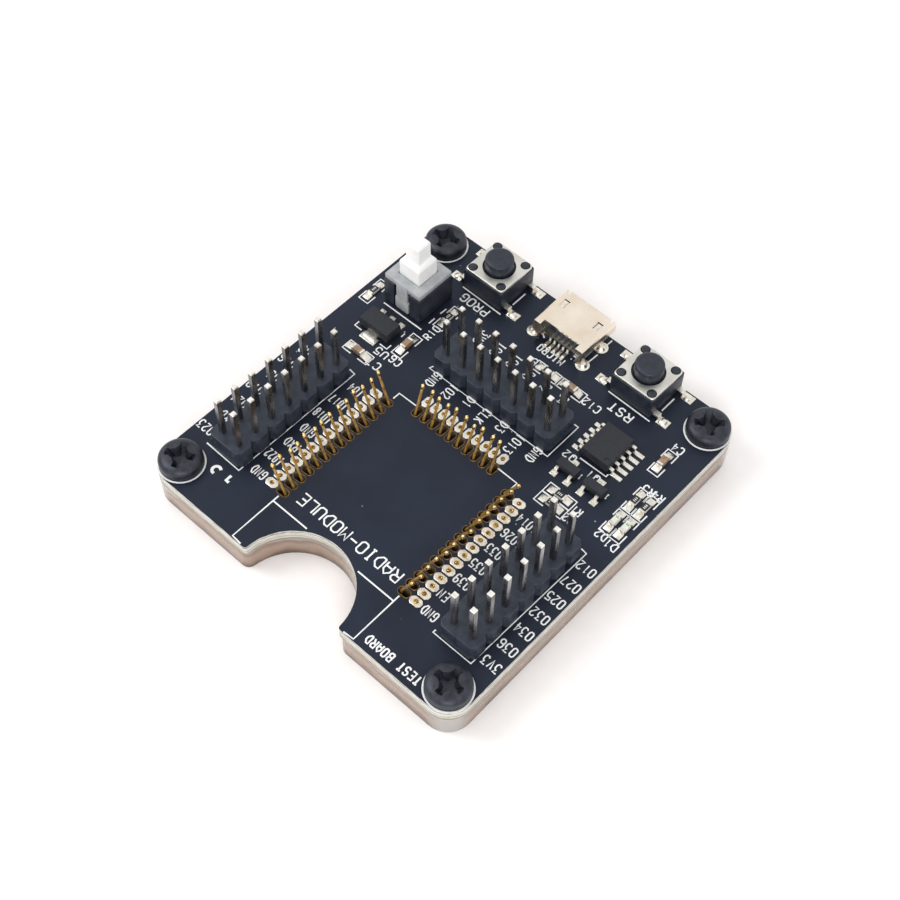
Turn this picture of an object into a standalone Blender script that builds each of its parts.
"""Module programming and test board on a clear base plate.

A circuit board is screwed to a base plate. A radio module is laid between three rows of spring
contacts, and a finger notch in the front edge lets it be pushed out again. Three pin headers, a
micro-USB socket, two push buttons and a latching power switch stand around the contacts.

Units are metres and +Z is up. The origin is the centre of the board's outline, on the underside
of the base plate. -Y is the notched front edge, and +Y is the edge with the socket.
"""
import math

import bmesh
import bpy
from mathutils import Matrix, Vector

MM = 0.001

# Stack: base plate, then circuit board.
BOARD_X = 45.8 * MM
BOARD_Y = 49.0 * MM
BOARD_Z = 1.6 * MM
BASE_Z = 3.15 * MM
CORNER_R = 3.0 * MM
NOTCH_R = 7.0 * MM
BOARD_LIP_R = 0.35 * MM       # rounding where the notch meets the front edge of the board
BASE_LIP_R = 1.0 * MM         # the same on the base plate
SEAT = 0.05 * MM              # gap under each piece that rests on another
RUN = 0.10 * MM               # radial clearance round a moving or loose piece
DECK = BASE_Z + SEAT + BOARD_Z    # top face of the circuit board
SIDE = BOARD_X / 2            # pieces are placed in from the board's nearest edges
REAR = BOARD_Y / 2
FRONT = -BOARD_Y / 2
CUT = 1.0 * MM                # how far a cutter runs past what it cuts

# Corner screws.
SCREW_INSET = 2.8 * MM
SCREW_R = 1.25 * MM
SCREW_HEAD_R = 2.55 * MM
SCREW_HEAD_Z = 1.7 * MM
SCREW_CROWN = 0.95 * MM       # how far the head's dome falls from its top to its rim
SCREW_POINT = 0.35 * MM       # chamfer at the screw's end
SCREW_FLOOR = 0.5 * MM        # base plate left under the screw's end
RECESS_W = 0.8 * MM
RECESS_L = 3.4 * MM
RECESS_Z = 1.1 * MM

# Pin headers.
PITCH = 2.54 * MM
HEADER_COLUMNS = 7
HEADER_ROWS = 2
HEADER_Z = 2.5 * MM
HEADER_NOTCH = 0.55 * MM      # depth of the vee between neighbouring units
PIN_W = 0.64 * MM
PIN_TOP = 8.5 * MM            # tip above the board
PIN_TAIL = 1.3 * MM           # tip below the board
PIN_TAPER = 0.3 * MM
PIN_POINT = 0.6                # width of a pin's tip, as a share of the pin
PIN_HOLE_R = PIN_W / math.sqrt(2) + SEAT
HEADER_FRONT = FRONT + 6.51 * MM    # front ends of the two side headers
HEADER_MIDDLE = HEADER_FRONT + HEADER_COLUMNS * PITCH / 2
LEFT_HEADER = (5.8 * MM - SIDE, HEADER_MIDDLE)
RIGHT_HEADER = (SIDE - 5.4 * MM, HEADER_MIDDLE)
REAR_HEADER = (0.0, FRONT + 31.31 * MM + PITCH)

# Spring contacts: each wire stands in a slot and leans away from the module.
CONTACT_PITCH = 1.27 * MM
SIDE_CONTACTS = 14
REAR_CONTACTS = 10
PAD_X = 10.87 * MM            # soldered end of the side rows, from the centre line
SIDE_ROW_Y = FRONT + 16.05 * MM
REAR_PAD_Y = FRONT + 27.45 * MM
WIRE_R = 0.17 * MM
WIRE_STEP = 2.1 * MM          # from the soldered end back to the standing wire
WIRE_LEAN = 1.6 * MM
WIRE_TOP = 3.9 * MM
WIRE_TIP_R = 0.27 * MM
WIRE_LOOP = 0.75 * MM         # how far the wire's bend hangs below the board
WIRE_BEND = 0.2 * MM          # half the height of the bend where a wire starts to lean
SLOT_W = 0.9 * MM
SLOT_L = 1.5 * MM
SLOT_STEP = WIRE_STEP - 0.4 * MM    # from the soldered end back to the slot's centre

# Push buttons, for programming and for reset.
TACT_X = 11.3 * MM
TACT_Y = REAR - 3.1 * MM
TACT_SIDE = 6.0 * MM
TACT_BODY_Z = 3.05 * MM
TACT_FLOOR = 0.8 * MM
TACT_COVER_T = 0.3 * MM
TACT_COVER_GAP = 0.1 * MM     # how far the cover stands in from the body's sides
TACT_SKIRT = (3.0 * MM, 1.4 * MM)
TACT_POST_R = 0.5 * MM
TACT_POST_AT = TACT_SIDE / 2 - 0.8 * MM
TACT_STEM_R = 1.75 * MM
TACT_STEM_EDGE = 0.2 * MM
TACT_FLANGE_R = TACT_STEM_R + 0.35 * MM
TACT_FLANGE_Z = 0.5 * MM
TACT_WELL_R = TACT_FLANGE_R + 0.25 * MM
TACT_NUB_R = 0.8 * MM         # the part of the stem that presses the dome
TACT_TOP = 5.0 * MM
TACT_LEAD_AT = 2.25 * MM
TACT_LEAD_Z = 0.6 * MM        # height where the leads leave the body
TACT_LEAD_W = 0.7 * MM
TACT_LEAD_T = 0.2 * MM
TACT_LEAD_REACH = 1.7 * MM
DOME_R = TACT_WELL_R - 0.35 * MM
DOME_Z = 0.6 * MM
DOME_T = 0.1 * MM
SWITCH_EDGE_R = 0.3 * MM      # rounding of the upright edges of every switch body and cover

# Latching power switch.
POWER_XY = (5.95 * MM - SIDE, REAR - 11.1 * MM)
POWER_SIDE = 5.8 * MM
POWER_BODY_Z = 3.9 * MM
POWER_FLOOR = 0.6 * MM
POWER_CAP_Z = 0.8 * MM
POWER_CAP_IN = 0.1 * MM       # how far the cap stands in from the body's sides
POWER_STRAP_W = 2.1 * MM
POWER_STRAP_T = 0.3 * MM
POWER_STRAP_END = 0.2 * MM    # from the board up to the strap's end
POWER_STRAP_DROP = 0.2 * MM   # from the cap's top face down to the strap's top
POWER_KEY_W = 3.15 * MM
POWER_KEY_Z = 7.5 * MM
POWER_TIP_W = 2.1 * MM
POWER_TIP_Z = 10.2 * MM
POWER_KEY_EDGE_R = 0.25 * MM
POWER_FLANGE = 0.3 * MM       # how far the key's flange reaches past the key
POWER_FLANGE_Z = 0.5 * MM
POWER_PIN_PITCH = 2.0 * MM
POWER_PIN_ROW = 4.5 * MM
POWER_PIN_W = 0.5 * MM
POWER_PIN_TAIL = 0.9 * MM
COIL_R = 1.1 * MM
COIL_WIRE_R = 0.13 * MM
COIL_TURNS = 4

# Micro-USB socket.
USB_X = 0.1 * MM
USB_MOUTH = REAR + 0.45 * MM
USB_W = 7.5 * MM
USB_L = 5.0 * MM
USB_H = 2.5 * MM
USB_WALL = 0.25 * MM
USB_CHAMFER = 0.8 * MM
USB_WING_W = 1.1 * MM
USB_WING_L = 1.1 * MM
USB_LEG_W = 0.7 * MM
USB_LEG_TAIL = 0.7 * MM
USB_LEG_BACK = (2.4 * MM, 5.85 * MM)    # leg centres, back from the mouth
USB_BLOCK_L = 1.4 * MM
USB_TONGUE_W = 3.7 * MM
USB_TONGUE_T = 0.6 * MM
USB_TONGUE_Z = 1.5 * MM       # height of the tongue's middle
USB_TONGUE_BACK = 0.8 * MM    # the tongue's end, back from the mouth
USB_LEADS = 5
USB_LEAD_PITCH = 0.65 * MM
USB_LEAD_W = 0.25 * MM
USB_LEAD_T = 0.15 * MM
USB_LEAD_REACH = 1.5 * MM

# Small parts on the board: centre x, centre y and turn about Z in degrees. Those beside the
# socket keep to the centre line, and the rest to the side that they are near.
CHIP_L = 1.6 * MM
CHIP_W = 0.8 * MM
CHIP_CAP = 0.3 * MM           # length of each end cap
RESISTOR_Z = 0.45 * MM
CAPACITOR_Z = 0.75 * MM
LED_Z = 0.6 * MM
RESISTORS = {
    "resistor_1": (SIDE - 9.4 * MM, REAR - 20.9 * MM, 0),
    "resistor_2": (SIDE - 9.4 * MM, REAR - 22.4 * MM, 0),
    "resistor_3": (SIDE - 2.9 * MM, REAR - 15.8 * MM, 90),
    "resistor_4": (SIDE - 1.5 * MM, REAR - 15.8 * MM, 90),
    "resistor_9": (1.6 * MM, REAR - 9.0 * MM, 0),
    "resistor_10": (10.7 * MM - SIDE, REAR - 11.0 * MM, 90),
    "resistor_11": (1.4 * MM - SIDE, REAR - 14.0 * MM, 90),
}
CAPACITORS = {
    "capacitor_4": (SIDE - 3.8 * MM, REAR - 9.7 * MM, 90),
    "capacitor_6": (9.9 * MM - SIDE, REAR - 17.3 * MM, 90),
    "capacitor_7": (6.4 * MM - SIDE, REAR - 21.85 * MM, 0),
    "capacitor_12": (5.1 * MM, REAR - 9.0 * MM, 0),
}
LEDS = {
    "led_1": (SIDE - 1.5 * MM, REAR - 19.3 * MM, 90),
    "led_2": (SIDE - 2.9 * MM, REAR - 19.3 * MM, 90),
}
LED_LENS_L = 1.0 * MM

# Packages: body length, width and height, then the leads' reach past each side.
SERIAL_CHIP = (SIDE - 9.4 * MM, REAR - 12.75 * MM)
SERIAL_BODY = (3.9 * MM, 4.9 * MM, 1.45 * MM)
SERIAL_PITCH = 1.0 * MM
SERIAL_LEADS = 5
SERIAL_LEAD_W = 0.38 * MM
TRANSISTORS = {
    "transistor_1": (SIDE - 7.1 * MM, REAR - 17.75 * MM),
    "transistor_2": (SIDE - 10.9 * MM, REAR - 17.75 * MM),
}
TRANSISTOR_BODY = (2.9 * MM, 1.3 * MM, 1.0 * MM)
TRANSISTOR_PITCH = 1.9 * MM
TRANSISTOR_LEAD_W = 0.4 * MM
REGULATOR = (5.9 * MM - SIDE, REAR - 17.65 * MM)
REGULATOR_BODY = (4.5 * MM, 2.5 * MM, 1.5 * MM)
REGULATOR_PITCH = 1.5 * MM
REGULATOR_LEAD_W = 0.45 * MM
REGULATOR_TAB = (1.7 * MM, 0.75 * MM)
LEAD_T = 0.15 * MM
LEAD_REACH = 1.05 * MM
LEAD_SET = 0.3 * MM           # how far a lead runs into its package
PACKAGE_EDGE = 0.1 * MM       # flat on a package's upright edges

POCKET_Z = 2.0 * MM           # depth of the base plate's pockets
POCKET_EDGE = 0.9 * MM        # room round what hangs into a pocket

MATERIALS = {
    "board_mask": ((0.035, 0.042, 0.058), 0.35, 0.0),
    "clear_acrylic": ((0.45, 0.37, 0.31), 0.15, 0.0),
    "black_oxide_steel": ((0.02, 0.021, 0.024), 0.4, 0.8),
    "header_black": ((0.018, 0.019, 0.022), 0.45, 0.0),
    "gold_wire": ((0.72, 0.50, 0.20), 0.25, 1.0),
    "switch_black": ((0.02, 0.02, 0.022), 0.5, 0.0),
    "cover_steel": ((0.62, 0.61, 0.57), 0.35, 1.0),
    "cap_grey": ((0.42, 0.43, 0.44), 0.5, 0.0),
    "key_white": ((0.85, 0.85, 0.83), 0.4, 0.0),
    "socket_shell": ((0.80, 0.68, 0.55), 0.3, 1.0),
    "package_black": ((0.025, 0.025, 0.028), 0.5, 0.0),
    "ceramic_tan": ((0.40, 0.22, 0.12), 0.45, 0.0),
    "ceramic_white": ((0.75, 0.74, 0.70), 0.4, 0.0),
}


def clear_scene():
    """Empties the file and makes the two collections."""
    for obj in list(bpy.data.objects):
        bpy.data.objects.remove(obj)
    for name in ("module_test_board", "cutters"):
        bpy.context.scene.collection.children.link(bpy.data.collections.new(name))


def material(name):
    """Returns the named material, made on first use."""
    if name in bpy.data.materials:
        return bpy.data.materials[name]
    colour, roughness, metallic = MATERIALS[name]
    made = bpy.data.materials.new(name)
    made.use_nodes = True
    shader = made.node_tree.nodes["Principled BSDF"]
    shader.inputs["Base Color"].default_value = (*colour, 1.0)
    shader.inputs["Roughness"].default_value = roughness
    shader.inputs["Metallic"].default_value = metallic
    made.diffuse_color = (*colour, 1.0)
    return made


def add_box(bm, size, centre):
    """Adds a box, given its size and its centre."""
    place = Matrix.Translation(centre) @ Matrix.Diagonal((*size, 1.0))
    return bmesh.ops.create_cube(bm, size=1.0, matrix=place)["verts"]


def add_cylinder(bm, radius, bottom, top, x=0.0, y=0.0, sides=16, top_radius=None):
    """Adds an upright cylinder, or a cone when top_radius is given."""
    place = Matrix.Translation((x, y, (bottom + top) / 2))
    place = place @ Matrix.Rotation(math.pi / sides, 4, "Z")
    return bmesh.ops.create_cone(
        bm, cap_ends=True, segments=sides, radius1=radius,
        radius2=radius if top_radius is None else top_radius,
        depth=top - bottom, matrix=place)["verts"]


def add_slot(bm, length, width, bottom, top, x, y, along_x):
    """Adds an upright round-ended bar: a cylinder whose halves are drawn apart."""
    verts = add_cylinder(bm, width / 2, bottom, top, x, y, sides=8)
    half = (length - width) / 2
    for vert in verts:
        if along_x:
            vert.co.x += math.copysign(half, vert.co.x - x)
        else:
            vert.co.y += math.copysign(half, vert.co.y - y)


def round_upright_edges(bm, verts, radius, segments):
    """Rounds the four upright edges of a box that was just added."""
    uprights = {edge for vert in verts for edge in vert.link_edges
                if abs((edge.verts[0].co - edge.verts[1].co).normalized().z) > 0.99}
    bmesh.ops.bevel(bm, geom=list(uprights), offset=radius, offset_type="OFFSET",
                    segments=segments, profile=0.5, affect="EDGES", clamp_overlap=True)


def mesh_from(bm, name):
    """Turns a bmesh into mesh data and frees it."""
    mesh = bpy.data.meshes.new(name)
    bm.to_mesh(mesh)
    bm.free()
    return mesh


def place_part(name, mesh, slot, location, turn=0.0):
    """Makes the object for one sub-part, with its material and smooth round faces."""
    obj = bpy.data.objects.new(name, mesh)
    bpy.data.collections["module_test_board"].objects.link(obj)
    obj.location = location
    obj.rotation_euler = (0.0, 0.0, math.radians(turn))
    mesh.materials.append(material(slot))
    mesh.shade_smooth()
    mesh.set_sharp_from_angle(angle=math.radians(35))
    return obj


def combine(target, operation, mesh):
    """Joins or cuts target with a mesh in target's own axes."""
    tool = bpy.data.objects.new(f"{target.name}_{mesh.name}", mesh)
    bpy.data.collections["cutters"].objects.link(tool)
    tool.parent = target
    tool.hide_render = True
    tool.display_type = "WIRE"
    step = target.modifiers.new(mesh.name, "BOOLEAN")
    step.operation = operation
    step.solver = "EXACT"
    step.object = tool


def arc(centre, radius, start, end, steps):
    """Points along an arc, with the angles in degrees."""
    angles = [math.radians(start + (end - start) * i / steps) for i in range(steps + 1)]
    return [(centre[0] + radius * math.cos(a), centre[1] + radius * math.sin(a)) for a in angles]


def extruded(outline, height, name):
    """Makes a closed upright plate of the given outline, standing on z = 0."""
    curve = bpy.data.curves.new(name, "CURVE")
    curve.dimensions = "2D"
    curve.fill_mode = "BOTH"
    curve.extrude = height / 2
    spline = curve.splines.new("POLY")
    spline.points.add(len(outline) - 1)
    for point, (x, y) in zip(spline.points, outline):
        point.co = (x, y, 0.0, 1.0)
    spline.use_cyclic_u = True
    return welded_mesh(curve, name, Matrix.Translation((0.0, 0.0, height / 2)))


def welded_mesh(curve, name, matrix):
    """Turns a curve into a closed mesh with its caps welded on."""
    guide = bpy.data.objects.new(name, curve)
    bpy.context.scene.collection.objects.link(guide)
    graph = bpy.context.evaluated_depsgraph_get()
    mesh = bpy.data.meshes.new_from_object(guide.evaluated_get(graph))
    bpy.data.objects.remove(guide)
    bm = bmesh.new()
    bm.from_mesh(mesh)
    bmesh.ops.remove_doubles(bm, verts=bm.verts, dist=0.002 * MM)
    bmesh.ops.recalc_face_normals(bm, faces=bm.faces)
    bmesh.ops.transform(bm, matrix=matrix, verts=bm.verts)
    return mesh_from(bm, name)


def board_outline(lip):
    """Outline of the board or the base: round corners, and the notch with its lips."""
    x = BOARD_X / 2 - CORNER_R
    y = BOARD_Y / 2 - CORNER_R
    front = -BOARD_Y / 2
    lip_x = math.sqrt(NOTCH_R ** 2 + 2 * NOTCH_R * lip)
    lip_turn = math.degrees(math.atan2(lip, lip_x))
    points = []
    for number, (side_x, side_y) in enumerate(((x, -y), (x, y), (-x, y), (-x, -y))):
        points += arc((side_x, side_y), CORNER_R, 90 * number - 90, 90 * number, 10)
    points += arc((-lip_x, front + lip), lip, 270, 360 - lip_turn, 4)
    points += arc((0.0, front), NOTCH_R, 180 - lip_turn, lip_turn, 32)[1:-1]
    points += arc((lip_x, front + lip), lip, 180 + lip_turn, 270, 4)
    return points


def corner_places():
    """Names and places of the four corner screws."""
    x = BOARD_X / 2 - SCREW_INSET
    y = BOARD_Y / 2 - SCREW_INSET
    return {
        "screw_front_left": (-x, -y),
        "screw_front_right": (x, -y),
        "screw_rear_left": (-x, y),
        "screw_rear_right": (x, y),
    }


def header_pins(centre, turned):
    """Pin places of one header."""
    places = []
    for column in range(HEADER_COLUMNS):
        for row in range(HEADER_ROWS):
            along = (column - (HEADER_COLUMNS - 1) / 2) * PITCH
            across = (row - (HEADER_ROWS - 1) / 2) * PITCH
            shift = (-across, along) if turned else (along, across)
            places.append((centre[0] + shift[0], centre[1] + shift[1]))
    return places


def contact_rows():
    """Name, place of the soldered ends' middle, turn in degrees and count of each row."""
    return (
        ("contact_row_left", (-PAD_X, SIDE_ROW_Y), 90, SIDE_CONTACTS),
        ("contact_row_rear", (0.0, REAR_PAD_Y), 0, REAR_CONTACTS),
        ("contact_row_right", (PAD_X, SIDE_ROW_Y), -90, SIDE_CONTACTS),
    )


def usb_leg_places():
    """Places of the socket's four legs."""
    x = (USB_W - USB_WALL) / 2
    return [(USB_X + side * x, USB_MOUTH - back) for side in (-1, 1) for back in USB_LEG_BACK]


def power_pins():
    """Pin places of the power switch, from its own centre."""
    return [(side * POWER_PIN_ROW / 2, step * POWER_PIN_PITCH)
            for side in (-1, 1) for step in (-1, 0, 1)]


def outward(turn):
    """Unit vector that points away from the module for a contact row."""
    return Vector((-math.sin(math.radians(turn)), math.cos(math.radians(turn))))


def circuit_board():
    """The board, with every hole that something passes through."""
    board = place_part("circuit_board", extruded(board_outline(BOARD_LIP_R), BOARD_Z, "board"),
                       "board_mask", (0.0, 0.0, BASE_Z + SEAT))
    low, high = -CUT, BOARD_Z + CUT
    holes = bmesh.new()
    for x, y in corner_places().values():
        add_cylinder(holes, SCREW_R + RUN, low, high, x, y, sides=20)
    for centre, turned in ((LEFT_HEADER, True), (RIGHT_HEADER, True), (REAR_HEADER, False)):
        for x, y in header_pins(centre, turned):
            add_cylinder(holes, PIN_HOLE_R, low, high, x, y, sides=10)
    for x, y in power_pins():
        add_cylinder(holes, POWER_PIN_W / 2 + 2 * RUN, low, high,
                     POWER_XY[0] + x, POWER_XY[1] + y, sides=10)
    for x, y in usb_leg_places():
        add_cylinder(holes, USB_LEG_W / 2 + 2 * RUN, low, high, x, y, sides=10)
    combine(board, "DIFFERENCE", mesh_from(holes, "holes"))
    slots = bmesh.new()
    for _, centre, turn, count in contact_rows():
        away = outward(turn)
        row = Vector((away.y, -away.x))
        for i in range(count):
            along = (i - (count - 1) / 2) * CONTACT_PITCH
            spot = Vector(centre) + row * along - away * SLOT_STEP
            add_slot(slots, SLOT_L, SLOT_W, low, high, spot.x, spot.y, abs(away.x) > 0.5)
    combine(board, "DIFFERENCE", mesh_from(slots, "slots"))


def base_plate():
    """The clear plate, with pockets for what hangs below the board."""
    base = place_part("base_plate", extruded(board_outline(BASE_LIP_R), BASE_Z, "plate"),
                      "clear_acrylic", (0.0, 0.0, 0.0))
    floor = BASE_Z - POCKET_Z
    rooms = []
    header_l = (HEADER_COLUMNS - 1) * PITCH + PIN_W + 2 * POCKET_EDGE
    header_w = (HEADER_ROWS - 1) * PITCH + PIN_W + 2 * POCKET_EDGE
    for centre, turned in ((LEFT_HEADER, True), (RIGHT_HEADER, True), (REAR_HEADER, False)):
        rooms.append((centre, (header_w, header_l) if turned else (header_l, header_w)))
    for _, centre, turn, count in contact_rows():
        away = outward(turn)
        middle = Vector(centre) - away * (WIRE_STEP / 2)
        length = (count - 1) * CONTACT_PITCH + 2 * POCKET_EDGE
        width = WIRE_STEP + 2 * POCKET_EDGE
        rooms.append((middle, (width, length) if abs(away.x) > 0.5 else (length, width)))
    pin_room = POWER_PIN_W + 2 * POCKET_EDGE
    rooms.append((POWER_XY, (POWER_PIN_ROW + pin_room, 2 * POWER_PIN_PITCH + pin_room)))
    leg_room = USB_LEG_W + 2 * POCKET_EDGE
    rooms.append(((USB_X, USB_MOUTH - sum(USB_LEG_BACK) / 2),
                  (USB_W + leg_room, USB_LEG_BACK[1] - USB_LEG_BACK[0] + leg_room)))
    pockets = bmesh.new()
    for (x, y), (size_x, size_y) in rooms:
        add_box(pockets, (size_x, size_y, POCKET_Z * 2), (x, y, floor + POCKET_Z))
    combine(base, "DIFFERENCE", mesh_from(pockets, "pockets"))
    holes = bmesh.new()
    for x, y in corner_places().values():
        add_cylinder(holes, SCREW_R + SEAT, SCREW_FLOOR - SEAT, BASE_Z + CUT, x, y, sides=20)
    combine(base, "DIFFERENCE", mesh_from(holes, "screw_holes"))


def corner_screws():
    """Four pan-head screws with a cross recess, each on its own axis."""
    under = DECK + SEAT
    end = SCREW_FLOOR - under
    for name, (x, y) in corner_places().items():
        profile = [(0.0, SCREW_HEAD_Z)]
        for i in range(1, 5):
            turn = math.radians(90 * i / 4)
            profile.append((SCREW_HEAD_R * math.sin(turn),
                            SCREW_HEAD_Z - SCREW_CROWN * (1 - math.cos(turn))))
        profile += [(SCREW_HEAD_R, 0.0), (SCREW_R, 0.0), (SCREW_R, end + SCREW_POINT),
                    (SCREW_R - SCREW_POINT, end), (0.0, end)]
        screw = turned_part(name, profile, "black_oxide_steel", (x, y, under))
        for number, turn in enumerate((0, 90)):
            bar = bmesh.new()
            verts = add_box(bar, (RECESS_L, RECESS_W, RECESS_Z * 2), (0.0, 0.0, SCREW_HEAD_Z))
            for vert in verts:
                if vert.co.z < SCREW_HEAD_Z:
                    vert.co.x *= 0.45
                    vert.co.y *= 0.7
            bmesh.ops.rotate(bar, verts=verts, matrix=Matrix.Rotation(math.radians(turn), 3, "Z"))
            combine(screw, "DIFFERENCE", mesh_from(bar, f"recess_{number}"))


def pin_header(name, centre, turned):
    """One header: a black strip with a vee between units, and its square pins."""
    length = HEADER_COLUMNS * PITCH - 2 * SEAT
    width = HEADER_ROWS * PITCH - 2 * SEAT
    strip = bmesh.new()
    verts = add_box(strip, (length, width, HEADER_Z), (0.0, 0.0, SEAT + HEADER_Z / 2))
    round_upright_edges(strip, verts, HEADER_NOTCH, 1)
    header = place_part(name, mesh_from(strip, name), "header_black",
                        (centre[0], centre[1], DECK), 90 if turned else 0)
    vees = bmesh.new()
    for column in range(1, HEADER_COLUMNS):
        x = (column - HEADER_COLUMNS / 2) * PITCH
        for side in (-1, 1):
            verts = add_box(vees, (HEADER_NOTCH * math.sqrt(2), HEADER_NOTCH * math.sqrt(2),
                                   HEADER_Z + 2 * CUT), (0.0, 0.0, SEAT + HEADER_Z / 2))
            bmesh.ops.rotate(vees, verts=verts, matrix=Matrix.Rotation(math.radians(45), 3, "Z"))
            bmesh.ops.translate(vees, verts=verts, vec=(x, side * width / 2, 0.0))
    combine(header, "DIFFERENCE", mesh_from(vees, "vees"))
    pins = bmesh.new()
    low = -BOARD_Z - PIN_TAIL
    for x, y in header_pins((0.0, 0.0), False):
        verts = add_box(pins, (PIN_W, PIN_W, PIN_TOP - low), (x, y, (PIN_TOP + low) / 2))
        ends = {face for vert in verts for face in vert.link_faces if abs(face.normal.z) > 0.9}
        for face in ends:
            up = math.copysign(1.0, face.normal.z)
            tip = bmesh.ops.extrude_face_region(pins, geom=[face])
            tip_verts = [item for item in tip["geom"] if isinstance(item, bmesh.types.BMVert)]
            pins.faces.remove(face)
            for vert in face_side(verts, up):
                vert.co.z -= up * PIN_TAPER
            for vert in tip_verts:
                vert.co.x = x + (vert.co.x - x) * PIN_POINT
                vert.co.y = y + (vert.co.y - y) * PIN_POINT
    bmesh.ops.recalc_face_normals(pins, faces=pins.faces)
    combine(header, "UNION", mesh_from(pins, "pins"))


def face_side(verts, up):
    """The upper or the lower half of a box's corners."""
    middle = sum(vert.co.z for vert in verts) / len(verts)
    return [vert for vert in verts if (vert.co.z - middle) * up > 0]


def contact_row(name, centre, turn, count):
    """One row of gold spring wires on a hidden bar, with its origin on the flexing line."""
    away = outward(turn)
    pivot = Vector(centre) - away * WIRE_STEP
    top = BOARD_Z / 2
    bottom = -BOARD_Z / 2 - WIRE_LOOP
    length = (count - 1) * CONTACT_PITCH
    bar = bmesh.new()
    add_box(bar, (length + 4 * WIRE_R, 3 * WIRE_R, 3 * WIRE_R), (0.0, 0.0, bottom))
    row = place_part(name, mesh_from(bar, name), "gold_wire",
                     (pivot.x, pivot.y, DECK - BOARD_Z / 2), turn)
    curve = bpy.data.curves.new("wires", "CURVE")
    curve.dimensions = "3D"
    curve.bevel_depth = WIRE_R
    curve.bevel_resolution = 1
    curve.use_fill_caps = True
    rise = WIRE_TOP
    lean = Vector((0.0, WIRE_LEAN, rise)).normalized()
    tip = Vector((0.0, WIRE_LEAN, top + rise))
    for i in range(count):
        x = (i - (count - 1) / 2) * CONTACT_PITCH
        path = [((0.0, 0.0, bottom), 1.0), ((0.0, 0.0, top - WIRE_BEND), 1.0),
                ((0.0, WIRE_BEND * WIRE_LEAN / rise / 2, top + WIRE_BEND), 1.0)]
        bulb = WIRE_TIP_R / WIRE_R
        path += [(tip - lean * WIRE_TIP_R * 3, 1.0), (tip - lean * WIRE_TIP_R * 1.4, bulb),
                 (tip - lean * WIRE_TIP_R * 0.6, bulb), (tip, 0.5)]
        spline = curve.splines.new("POLY")
        spline.points.add(len(path) - 1)
        for point, (place, size) in zip(spline.points, path):
            point.co = (x, place[1], place[2], 1.0)
            point.radius = size
    combine(row, "UNION", welded_mesh(curve, "wires", Matrix.Identity(4)))


def turned_part(name, profile, slot, location, steps=24):
    """Makes a turned piece from (radius, height) points, listed from its top down its outside."""
    bm = bmesh.new()
    verts = [bm.verts.new((radius, 0.0, height)) for radius, height in profile]
    for first, second in zip(verts, verts[1:]):
        bm.edges.new((first, second))
    part = place_part(name, mesh_from(bm, name), slot, location)
    turned = part.modifiers.new("turned", "SCREW")
    turned.steps = steps
    turned.render_steps = steps
    turned.use_merge_vertices = True
    turned.merge_threshold = 0.000001
    turned.use_smooth_shade = True
    return part


def add_gull_lead(bm, spot, turn, reach, drop, width, thick):
    """Adds one lead that leaves its package at height drop, bends down and runs out flat.

    spot is where it leaves the package, and turn points it away from there.
    """
    knee = reach * 0.4
    outline = [(-LEAD_SET, drop), (knee, drop), (knee, 0.0), (reach, 0.0), (reach, thick),
               (knee + thick, thick), (knee + thick, drop + thick), (-LEAD_SET, drop + thick)]
    place = Matrix.Translation((spot[0], spot[1], SEAT))
    place = place @ Matrix.Rotation(math.radians(turn), 4, "Z")
    place = place @ Matrix.Translation((0.0, width / 2, 0.0))
    place = place @ Matrix.Rotation(math.radians(90), 4, "X")
    lead = extruded(outline, width, "lead")
    lead.transform(place)
    bm.from_mesh(lead)


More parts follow.
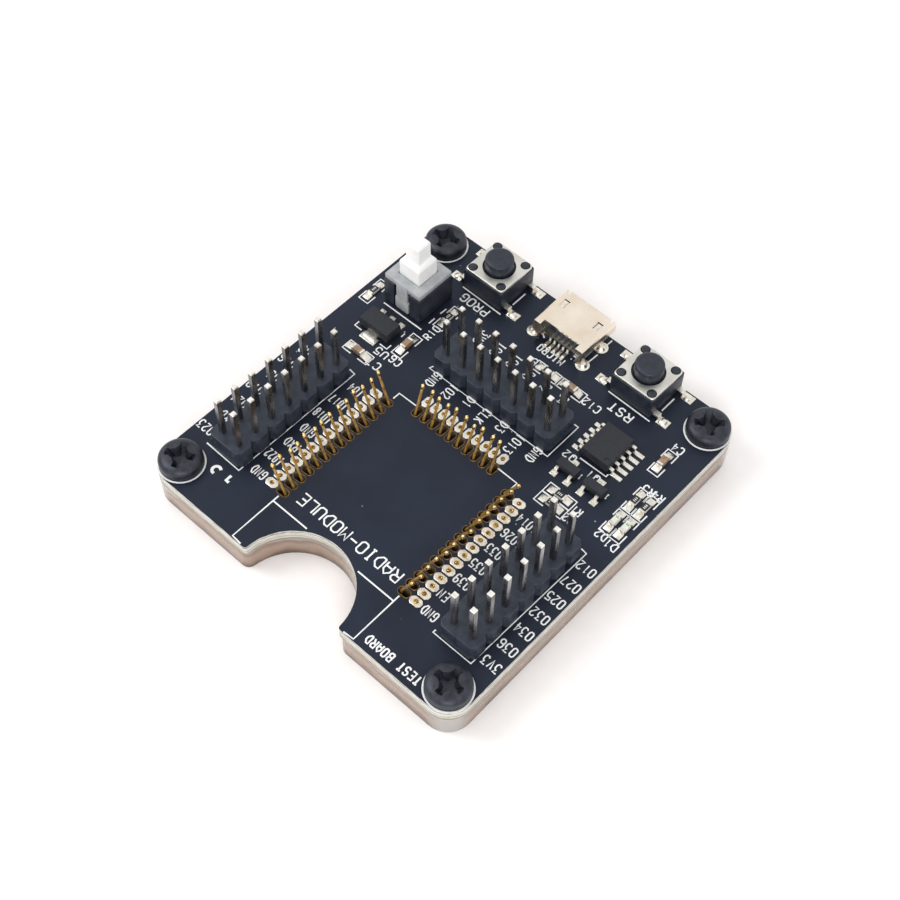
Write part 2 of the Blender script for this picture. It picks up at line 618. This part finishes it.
def push_button(prefix, x):
    """A surface-mounted push button: body, snap dome, steel cover and round stem."""
    centre = (x, TACT_Y, DECK)
    top = SEAT + TACT_BODY_Z
    cover_low = top + SEAT
    cover_high = cover_low + TACT_COVER_T
    cover_side = TACT_SIDE - 2 * TACT_COVER_GAP
    posts = [(a * TACT_POST_AT, b * TACT_POST_AT) for a in (-1, 1) for b in (-1, 1)]

    block = bmesh.new()
    verts = add_box(block, (TACT_SIDE, TACT_SIDE, TACT_BODY_Z), (0.0, 0.0, SEAT + TACT_BODY_Z / 2))
    round_upright_edges(block, verts, SWITCH_EDGE_R, 2)
    body = place_part(f"{prefix}_switch_body", mesh_from(block, "body"), "switch_black", centre)
    well = bmesh.new()
    add_cylinder(well, TACT_WELL_R, SEAT + TACT_FLOOR, top + CUT, sides=24)
    combine(body, "DIFFERENCE", mesh_from(well, "well"))
    relief = bmesh.new()
    for side in (-1, 1):
        skirt_x = side * (TACT_SIDE / 2)
        depth = 2 * (TACT_COVER_GAP + TACT_COVER_T + SEAT)
        add_box(relief, (depth, TACT_SKIRT[0] + 2 * RUN, 2 * (TACT_SKIRT[1] + RUN)),
                (skirt_x, 0.0, top))
    combine(body, "DIFFERENCE", mesh_from(relief, "skirt_relief"))
    extras = bmesh.new()
    for post_x, post_y in posts:
        add_cylinder(extras, TACT_POST_R, top - TACT_POST_R, cover_high + 2 * SEAT, post_x, post_y,
                     sides=10)
    for side in (-1, 1):
        for lead_y in (-TACT_LEAD_AT, TACT_LEAD_AT):
            add_gull_lead(extras, (side * TACT_SIDE / 2, lead_y), 0 if side > 0 else 180,
                          TACT_LEAD_REACH, TACT_LEAD_Z, TACT_LEAD_W, TACT_LEAD_T)
    combine(body, "UNION", mesh_from(extras, "posts_and_leads"))

    plate = bmesh.new()
    verts = add_box(plate, (cover_side, cover_side, TACT_COVER_T),
                    (0.0, 0.0, (cover_low + cover_high) / 2))
    round_upright_edges(plate, verts, SWITCH_EDGE_R, 2)
    cover = place_part(f"{prefix}_switch_cover", mesh_from(plate, "cover"), "cover_steel", centre)
    skirts = bmesh.new()
    for side in (-1, 1):
        add_box(skirts, (TACT_COVER_T, TACT_SKIRT[0], TACT_SKIRT[1] + TACT_COVER_T / 2),
                (side * (cover_side - TACT_COVER_T) / 2, 0.0,
                 cover_low + TACT_COVER_T / 4 - TACT_SKIRT[1] / 2))
    combine(cover, "UNION", mesh_from(skirts, "skirts"))
    openings = bmesh.new()
    add_cylinder(openings, TACT_STEM_R + RUN, cover_low - CUT, cover_high + CUT, sides=24)
    for post_x, post_y in posts:
        add_cylinder(openings, TACT_POST_R + SEAT, cover_low - CUT, cover_high + CUT,
                     post_x, post_y, sides=10)
    combine(cover, "DIFFERENCE", mesh_from(openings, "openings"))

    dome_low = SEAT + TACT_FLOOR + SEAT
    turned_part(f"{prefix}_switch_dome", dome_profile(dome_low), "cover_steel", centre)
    flange_top = cover_low - SEAT
    flange_low = flange_top - TACT_FLANGE_Z
    nub_low = dome_low + DOME_Z + SEAT
    profile = [(0.0, TACT_TOP), (TACT_STEM_R - TACT_STEM_EDGE, TACT_TOP),
               (TACT_STEM_R, TACT_TOP - TACT_STEM_EDGE), (TACT_STEM_R, flange_top),
               (TACT_FLANGE_R, flange_top), (TACT_FLANGE_R, flange_low),
               (TACT_NUB_R, flange_low), (TACT_NUB_R, nub_low), (0.0, nub_low)]
    turned_part(f"{prefix}_button", profile, "switch_black", centre)


def dome_profile(low):
    """Section of the snap dome: its outside from the crown to the rim, then its inside."""
    steps = 5
    outside = []
    inside = []
    for i in range(steps + 1):
        turn = math.radians(90 * i / steps)
        outside.append((DOME_R * math.sin(turn), low + DOME_Z * math.cos(turn)))
        inside.append(((DOME_R - DOME_T) * math.sin(turn), low + (DOME_Z - DOME_T) * math.cos(turn)))
    return outside + inside[::-1]


def power_switch():
    """The latching switch: body with six pins, strapped cap, return spring and square key."""
    centre = (POWER_XY[0], POWER_XY[1], DECK)
    top = SEAT + POWER_BODY_Z
    cap_low = top + SEAT
    cap_high = cap_low + POWER_CAP_Z
    flange_w = POWER_KEY_W + 2 * POWER_FLANGE
    well_w = flange_w + 2 * RUN
    floor = SEAT + POWER_FLOOR

    block = bmesh.new()
    verts = add_box(block, (POWER_SIDE, POWER_SIDE, POWER_BODY_Z),
                    (0.0, 0.0, SEAT + POWER_BODY_Z / 2))
    round_upright_edges(block, verts, SWITCH_EDGE_R, 2)
    body = place_part("power_switch_body", mesh_from(block, "body"), "switch_black", centre)
    room = bmesh.new()
    add_box(room, (well_w, well_w, 2 * POWER_BODY_Z), (0.0, 0.0, floor + POWER_BODY_Z))
    combine(body, "DIFFERENCE", mesh_from(room, "well"))
    relief = bmesh.new()
    for side in (-1, 1):
        add_box(relief, (POWER_STRAP_W + 2 * RUN, 2 * (POWER_STRAP_T + SEAT), 3 * POWER_BODY_Z),
                (0.0, side * POWER_SIDE / 2, 0.0))
    combine(body, "DIFFERENCE", mesh_from(relief, "strap_relief"))
    pins = bmesh.new()
    low = -BOARD_Z - POWER_PIN_TAIL
    high = SEAT + POWER_FLOOR / 2
    for x, y in power_pins():
        add_box(pins, (POWER_PIN_W, POWER_PIN_W / 2, high - low), (x, y, (high + low) / 2))
    combine(body, "UNION", mesh_from(pins, "pins"))

    side_in = POWER_SIDE - 2 * POWER_CAP_IN
    plate = bmesh.new()
    verts = add_box(plate, (side_in, side_in, POWER_CAP_Z), (0.0, 0.0, (cap_low + cap_high) / 2))
    round_upright_edges(plate, verts, SWITCH_EDGE_R, 2)
    cap = place_part("power_switch_cap", mesh_from(plate, "cap"), "cap_grey", centre)
    straps = bmesh.new()
    strap_top = cap_high - POWER_STRAP_DROP
    for side in (-1, 1):
        add_box(straps, (POWER_STRAP_W, POWER_STRAP_T, strap_top - POWER_STRAP_END),
                (0.0, side * (POWER_SIDE - POWER_STRAP_T) / 2, (strap_top + POWER_STRAP_END) / 2))
    combine(cap, "UNION", mesh_from(straps, "straps"))
    hole = bmesh.new()
    hole_w = POWER_KEY_W + 2 * RUN
    add_box(hole, (hole_w, hole_w, 4 * POWER_CAP_Z), (0.0, 0.0, cap_high))
    combine(cap, "DIFFERENCE", mesh_from(hole, "key_hole"))

    flange_top = cap_low - SEAT
    flange_low = flange_top - POWER_FLANGE_Z
    shank = bmesh.new()
    verts = add_box(shank, (POWER_KEY_W, POWER_KEY_W, POWER_KEY_Z - flange_low),
                    (0.0, 0.0, (POWER_KEY_Z + flange_low) / 2))
    round_upright_edges(shank, verts, POWER_KEY_EDGE_R, 2)
    key = place_part("power_button", mesh_from(shank, "key"), "key_white", centre)
    ends = bmesh.new()
    add_box(ends, (flange_w, flange_w, POWER_FLANGE_Z), (0.0, 0.0, (flange_low + flange_top) / 2))
    tip_low = POWER_KEY_Z - POWER_FLANGE_Z
    verts = add_box(ends, (POWER_TIP_W, POWER_TIP_W, POWER_TIP_Z - tip_low),
                    (0.0, 0.0, (POWER_TIP_Z + tip_low) / 2))
    round_upright_edges(ends, verts, POWER_KEY_EDGE_R, 2)
    combine(key, "UNION", mesh_from(ends, "flange_and_tip"))
    return_spring(centre, floor + SEAT, flange_low - SEAT)


def return_spring(centre, low, high):
    """The coil spring that lifts the power switch's key."""
    curve = bpy.data.curves.new("coil", "CURVE")
    curve.dimensions = "3D"
    curve.bevel_depth = COIL_WIRE_R
    curve.bevel_resolution = 0
    curve.use_fill_caps = True
    per_turn = 12
    count = COIL_TURNS * per_turn
    spline = curve.splines.new("POLY")
    spline.points.add(count)
    for i, point in enumerate(spline.points):
        turn = 2 * math.pi * i / per_turn
        rise = low + COIL_WIRE_R + (high - low - 2 * COIL_WIRE_R) * i / count
        point.co = (COIL_R * math.cos(turn), COIL_R * math.sin(turn), rise, 1.0)
    place_part("power_switch_spring", welded_mesh(curve, "coil", Matrix.Identity(4)),
               "cover_steel", centre)


def shell_outline(inset):
    """Section of the socket's shell, inset from its outside: flat top, chamfered bottom."""
    half = USB_W / 2 - inset
    low = SEAT + inset
    high = SEAT + USB_H - inset
    chamfer = USB_CHAMFER - inset * (2 - math.sqrt(2))
    return [(-half + chamfer, low), (half - chamfer, low), (half, low + chamfer), (half, high),
            (-half, high), (-half, low + chamfer)]


def lying_along_y(outline, length, name):
    """Extrudes a section along Y, from y = -length to y = 0."""
    mesh = extruded(outline, length, name)
    mesh.transform(Matrix.Rotation(math.radians(90), 4, "X"))
    return mesh


def usb_socket():
    """The micro-USB socket: a folded steel shell round a plastic block with five leads."""
    mouth = (USB_X, USB_MOUTH, DECK)
    length = USB_L + USB_WING_L
    shell = place_part("usb_shell", lying_along_y(shell_outline(0.0), length, "shell"),
                       "socket_shell", mouth)
    inside = lying_along_y(shell_outline(USB_WALL), length + 2 * CUT, "inside")
    inside.transform(Matrix.Translation((0.0, CUT, 0.0)))
    combine(shell, "DIFFERENCE", inside)
    gap = bmesh.new()
    add_box(gap, (USB_W - 2 * USB_WING_W, 2 * USB_WING_L, 3 * USB_H), (0.0, -length, 0.0))
    combine(shell, "DIFFERENCE", mesh_from(gap, "wing_gap"))
    legs = bmesh.new()
    low = -BOARD_Z - USB_LEG_TAIL
    high = SEAT + USB_CHAMFER + USB_LEG_W
    for x, y in usb_leg_places():
        add_box(legs, (USB_WALL * 0.98, USB_LEG_W, high - low),
                (x - USB_X, y - USB_MOUTH, (high + low) / 2))
    combine(shell, "UNION", mesh_from(legs, "legs"))

    block_back = USB_L
    block = lying_along_y(shell_outline(USB_WALL + SEAT), USB_BLOCK_L, "block")
    block.transform(Matrix.Translation((0.0, USB_BLOCK_L - block_back, 0.0)))
    insert = place_part("usb_insert", block, "switch_black", mouth)
    extras = bmesh.new()
    tongue_front = -USB_TONGUE_BACK
    tongue_back = USB_BLOCK_L - block_back - LEAD_SET
    add_box(extras, (USB_TONGUE_W, tongue_front - tongue_back, USB_TONGUE_T),
            (0.0, (tongue_front + tongue_back) / 2, SEAT + USB_TONGUE_Z))
    for i in range(USB_LEADS):
        x = (i - (USB_LEADS - 1) / 2) * USB_LEAD_PITCH
        add_gull_lead(extras, (x, -block_back), -90, USB_LEAD_REACH, USB_CHAMFER * 0.7,
                      USB_LEAD_W, USB_LEAD_T)
    combine(insert, "UNION", mesh_from(extras, "tongue_and_leads"))


def package(name, centre, size, leads, slot="package_black"):
    """A moulded package on leads; leads is a mesh in the package's own axes."""
    block = bmesh.new()
    low = 2 * SEAT
    verts = add_box(block, size, (0.0, 0.0, low + size[2] / 2))
    round_upright_edges(block, verts, PACKAGE_EDGE, 1)
    body = place_part(name, mesh_from(block, name), slot, (*centre, DECK))
    combine(body, "UNION", leads)


def serial_chip():
    """The USB-to-serial chip, with five leads a side."""
    leads = bmesh.new()
    for side in (-1, 1):
        for i in range(SERIAL_LEADS):
            y = (i - (SERIAL_LEADS - 1) / 2) * SERIAL_PITCH
            add_gull_lead(leads, (side * SERIAL_BODY[0] / 2, y), 0 if side > 0 else 180,
                          LEAD_REACH, SERIAL_BODY[2] / 2, SERIAL_LEAD_W, LEAD_T)
    package("serial_chip", SERIAL_CHIP, SERIAL_BODY, mesh_from(leads, "leads"))


def transistors():
    """Two three-lead transistors: two leads in front and one behind."""
    for name, centre in TRANSISTORS.items():
        leads = bmesh.new()
        half = TRANSISTOR_BODY[1] / 2
        for x, y, turn in ((-TRANSISTOR_PITCH / 2, -half, -90), (TRANSISTOR_PITCH / 2, -half, -90),
                           (0.0, half, 90)):
            add_gull_lead(leads, (x, y), turn, LEAD_REACH * 0.6, TRANSISTOR_BODY[2] / 2,
                          TRANSISTOR_LEAD_W, LEAD_T)
        package(name, centre, TRANSISTOR_BODY, mesh_from(leads, "leads"))


def regulator():
    """The voltage regulator: three flat leads behind and a wide tab in front."""
    leads = bmesh.new()
    half = REGULATOR_BODY[1] / 2
    for i in (-1, 0, 1):
        add_box(leads, (REGULATOR_LEAD_W, LEAD_REACH + LEAD_SET, 2 * LEAD_T),
                (i * REGULATOR_PITCH, half + (LEAD_REACH - LEAD_SET) / 2, 2 * SEAT + 2 * LEAD_T))
    add_box(leads, (REGULATOR_TAB[0], REGULATOR_TAB[1] + LEAD_SET, 2 * LEAD_T),
            (0.0, -half - (REGULATOR_TAB[1] - LEAD_SET) / 2, 2 * SEAT + 2 * LEAD_T))
    package("voltage_regulator", REGULATOR, REGULATOR_BODY, mesh_from(leads, "leads"))


def chip(name, place, height, slot):
    """A two-ended chip part: its body, and an end cap round each end."""
    x, y, turn = place
    core = bmesh.new()
    add_box(core, (CHIP_L - CHIP_CAP, CHIP_W - SEAT, height - SEAT), (0.0, 0.0, SEAT + height / 2))
    body = place_part(name, mesh_from(core, name), slot, (x, y, DECK), turn)
    caps = bmesh.new()
    for side in (-1, 1):
        add_box(caps, (CHIP_CAP, CHIP_W, height),
                (side * (CHIP_L - CHIP_CAP) / 2, 0.0, SEAT + height / 2))
    combine(body, "UNION", mesh_from(caps, "caps"))


def led(name, place):
    """A light-emitting diode: a flat base with a lens block on it."""
    x, y, turn = place
    base_z = LED_Z * 0.5
    core = bmesh.new()
    add_box(core, (CHIP_L, CHIP_W, base_z), (0.0, 0.0, SEAT + base_z / 2))
    body = place_part(name, mesh_from(core, name), "ceramic_white", (x, y, DECK), turn)
    lens = bmesh.new()
    add_box(lens, (LED_LENS_L, CHIP_W - 2 * SEAT, LED_Z - base_z / 2),
            (0.0, 0.0, SEAT + (LED_Z + base_z / 2) / 2))
    combine(body, "UNION", mesh_from(lens, "lens"))


def main():
    clear_scene()
    circuit_board()
    base_plate()
    corner_screws()
    pin_header("header_left", LEFT_HEADER, True)
    pin_header("header_right", RIGHT_HEADER, True)
    pin_header("header_rear", REAR_HEADER, False)
    for row in contact_rows():
        contact_row(*row)
    push_button("prog", -TACT_X)
    push_button("reset", TACT_X)
    power_switch()
    usb_socket()
    serial_chip()
    transistors()
    regulator()
    for name, place in RESISTORS.items():
        chip(name, place, RESISTOR_Z, "ceramic_white")
    for name, place in CAPACITORS.items():
        chip(name, place, CAPACITOR_Z, "ceramic_tan")
    for name, place in LEDS.items():
        led(name, place)


main()
